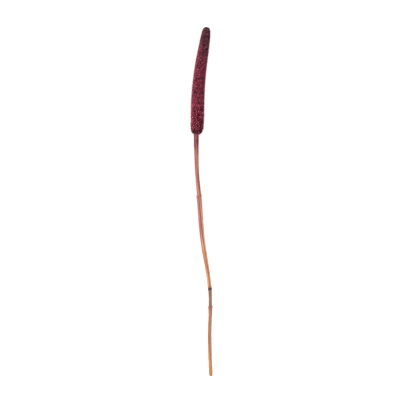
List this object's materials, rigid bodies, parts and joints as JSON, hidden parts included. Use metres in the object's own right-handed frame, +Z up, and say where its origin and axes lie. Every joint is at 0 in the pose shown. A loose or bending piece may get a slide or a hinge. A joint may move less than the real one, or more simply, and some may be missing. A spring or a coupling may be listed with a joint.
{
  "type": "dried millet stem",
  "caption": "Dried, dyed pearl millet stem lying on its side: a long grain-covered seed head on a slender jointed stalk wrapped in dry leaf sheaths.",
  "frame": {"origin": "centre of the stem's footprint, on the surface it lies on", "axes": "+Z up, +Y along the stem towards the tip of the seed head, +X to the right when seen from above with the tip away from the viewer"},
  "size_m": [0.0434, 0.6999, 0.0267],
  "materials": {
    "grain": "dry dyed grain in chaff, deep burgundy, matte",
    "culm": "dry grass stalk, satin, pinkish brown with a burgundy stain under the head",
    "upper_sheath": "papery dry leaf sheath, salmon, fine lengthwise ribs",
    "lower_sheath": "papery dry leaf sheath, tan to ochre, fine lengthwise ribs"
  },
  "bodies": {
    "root": {"seed_head": "grain", "stem": "culm", "upper_sheath": "upper_sheath", "lower_sheath": "lower_sheath"}
  },
  "joints": []
}
